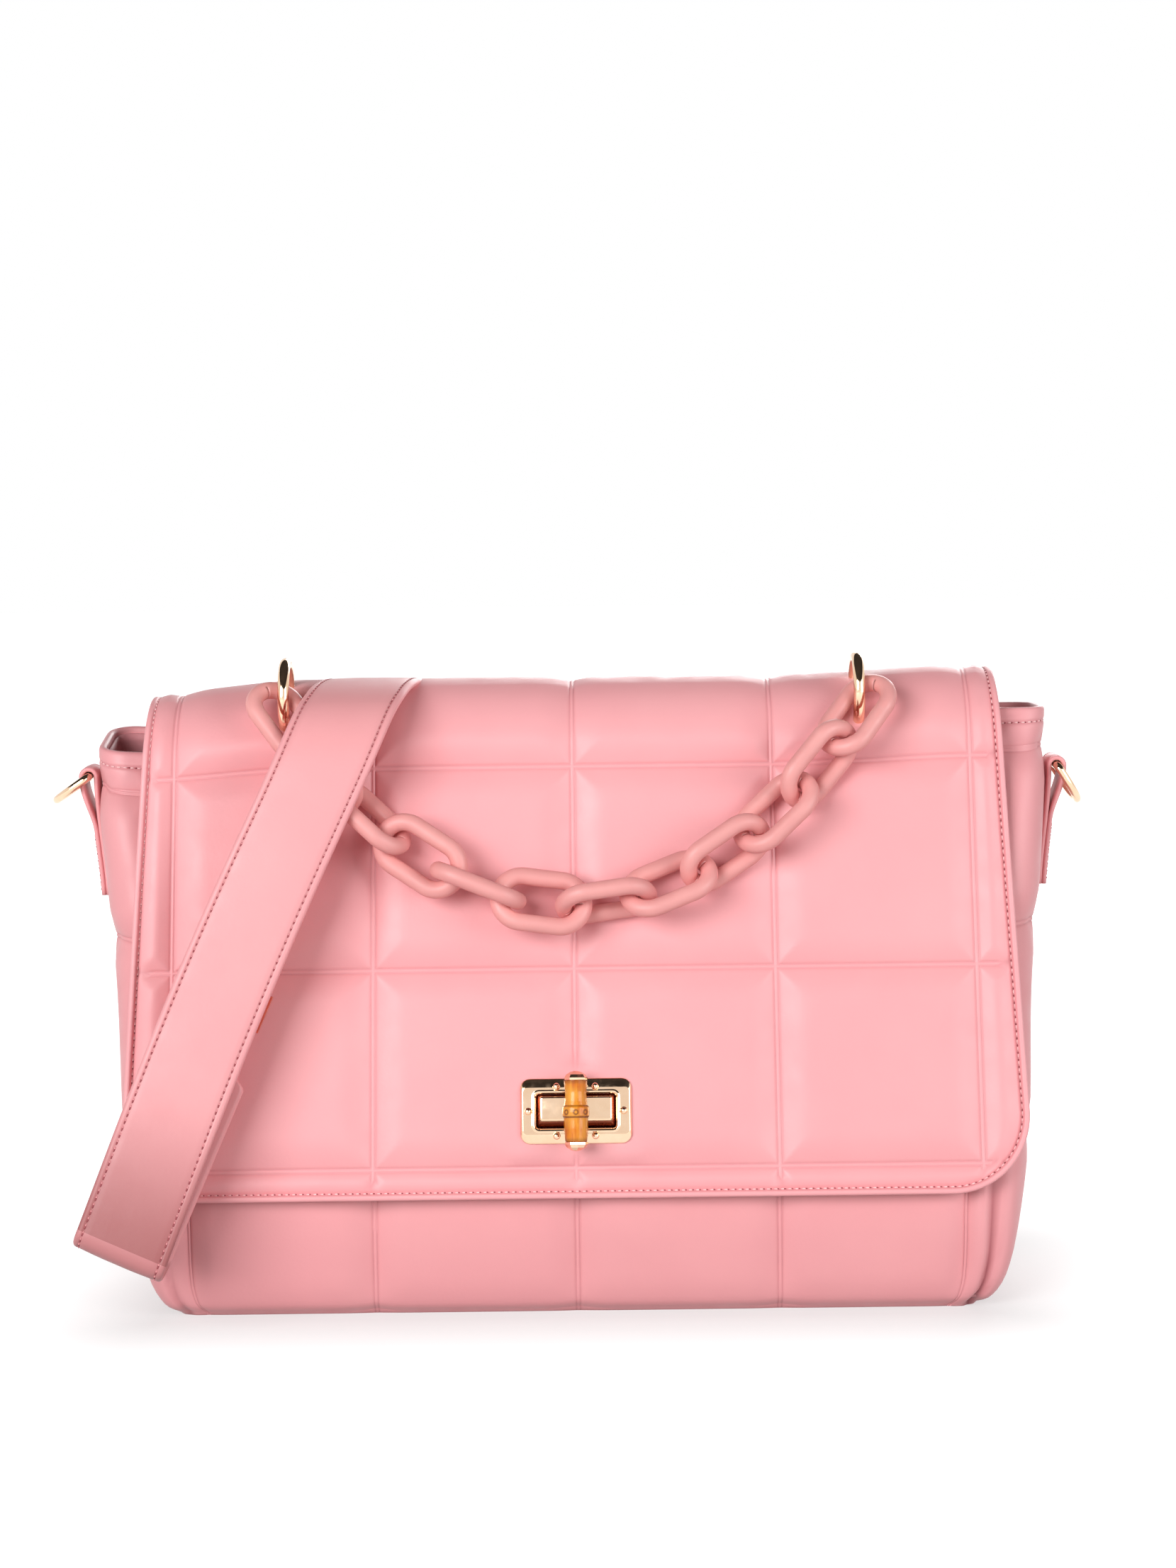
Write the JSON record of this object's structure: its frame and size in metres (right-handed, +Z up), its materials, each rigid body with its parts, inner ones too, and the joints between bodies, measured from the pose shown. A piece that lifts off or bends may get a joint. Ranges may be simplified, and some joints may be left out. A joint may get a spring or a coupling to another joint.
{
  "type": "chain shoulder bag",
  "caption": "Quilted leather flap bag with a chunky resin chain handle, a draped leather strap, a turn-lock with a bamboo bar, and a metal ring in a tab on each side.",
  "frame": {"origin": "middle of the base, on the surface that the bag stands on", "axes": "+X to the right of the front, along the width; +Y to the back; +Z up"},
  "size_m": [0.3803, 0.1639, 0.2336],
  "materials": {
    "leather": "satin, fine grain",
    "strap_leather": "satin, fine grain",
    "inner_leather": "satin",
    "lining_cloth": "woven, matt",
    "board": "matt",
    "gold": "polished",
    "magnet": "brushed",
    "bamboo": "gloss lacquer",
    "chain": "matt resin"
  },
  "bodies": {
    "bag": {"base_panel": "leather", "front_panel": "leather", "back_panel": "leather", "left_gusset": "leather", "right_gusset": "leather", "lining": "lining_cloth", "mouth_facing": "inner_leather", "base_board": "board", "body_magnet": "magnet", "left_tab": "leather", "right_tab": "leather", "strap_back": "strap_leather", "back_hook_eye": "gold"},
    "flap": {"flap_panel": "leather", "flap_lining": "inner_leather", "lock_plate": "gold", "lock_rivets": "gold", "lock_base": "gold", "lock_back_plate": "gold", "flap_magnet": "magnet", "strap_crest": "strap_leather"},
    "lock_bar": {"bamboo_bar": "bamboo", "bar_cap_upper": "gold", "bar_cap_lower": "gold", "lock_spindle": "gold"},
    "left_top_ring": {"left_top_ring": "gold"},
    "right_top_ring": {"right_top_ring": "gold"},
    "chain": {"chain_link_01": "chain", "chain_link_02": "chain", "chain_link_03": "chain", "chain_link_04": "chain", "chain_link_05": "chain", "chain_link_06": "chain", "chain_link_07": "chain", "chain_link_08": "chain", "chain_link_09": "chain", "chain_link_10": "chain", "chain_link_11": "chain", "chain_link_12": "chain", "strap_front": "strap_leather", "front_hook_eye": "gold"},
    "front_hook": {"front_hook_hook": "gold"},
    "front_gate": {"front_hook_gate": "gold"},
    "back_hook": {"back_hook_hook": "gold"},
    "back_gate": {"back_hook_gate": "gold"},
    "left_side_ring": {"left_side_ring": "gold"},
    "right_side_ring": {"right_side_ring": "gold"}
  },
  "joints": [
    {"name": "flap_open", "type": "hinge", "parent": "bag", "child": "flap", "pos_m": [0, 0.02804, 0.20007], "axis": [-1, 0, 0], "range_deg": [0, 150], "deforming": ["strap_crest"]},
    {"name": "lock_turn", "type": "hinge", "parent": "flap", "child": "lock_bar", "pos_m": [0, -0.0535, 0.074], "axis": [0, -0.981, 0.1942], "range_deg": [0, 90]},
    {"name": "left_top_ring_turn", "type": "hinge", "parent": "flap", "child": "left_top_ring", "pos_m": [-0.104, -0.01886, 0.2196], "axis": [1, 0, 0], "continuous": true},
    {"name": "right_top_ring_turn", "type": "hinge", "parent": "flap", "child": "right_top_ring", "pos_m": [0.104, -0.01886, 0.2196], "axis": [1, 0, 0], "continuous": true},
    {"name": "chain_swing", "type": "hinge", "parent": "flap", "child": "chain", "pos_m": [0, -0.01886, 0.2196], "axis": [-1, 0, 0], "range_deg": [0, 90], "deforming": ["strap_crest"]},
    {"name": "front_hook_swivel", "type": "hinge", "parent": "chain", "child": "front_hook", "pos_m": [-0.11836, -0.05887, 0.12173], "axis": [0.3907, 0.1788, 0.903], "range_deg": [-15, 15]},
    {"name": "front_gate_open", "type": "hinge", "parent": "front_hook", "child": "front_gate", "pos_m": [-0.11985, -0.05593, 0.13659], "axis": [0, 0.981, -0.1942], "range_deg": [0, 25], "stiffness_Nm_per_rad": 0.02, "springref_deg": -11.46},
    {"name": "back_hook_swivel", "type": "hinge", "parent": "bag", "child": "back_hook", "pos_m": [-0.04047, 0.06757, 0.03502], "axis": [0.1736, 0.2048, -0.9633], "continuous": true},
    {"name": "back_gate_open", "type": "hinge", "parent": "back_hook", "child": "back_gate", "pos_m": [-0.04533, 0.07057, 0.02092], "axis": [0, -0.9781, -0.2079], "range_deg": [0, 25], "stiffness_Nm_per_rad": 0.02, "springref_deg": -11.46},
    {"name": "left_side_ring_swing", "type": "hinge", "parent": "bag", "child": "left_side_ring", "pos_m": [-0.17819, 0, 0.19], "axis": [0, 1, 0], "range_deg": [-30, 90]},
    {"name": "right_side_ring_swing", "type": "hinge", "parent": "bag", "child": "right_side_ring", "pos_m": [0.17819, 0, 0.19], "axis": [0, -1, 0], "range_deg": [-8, 115]}
  ]
}
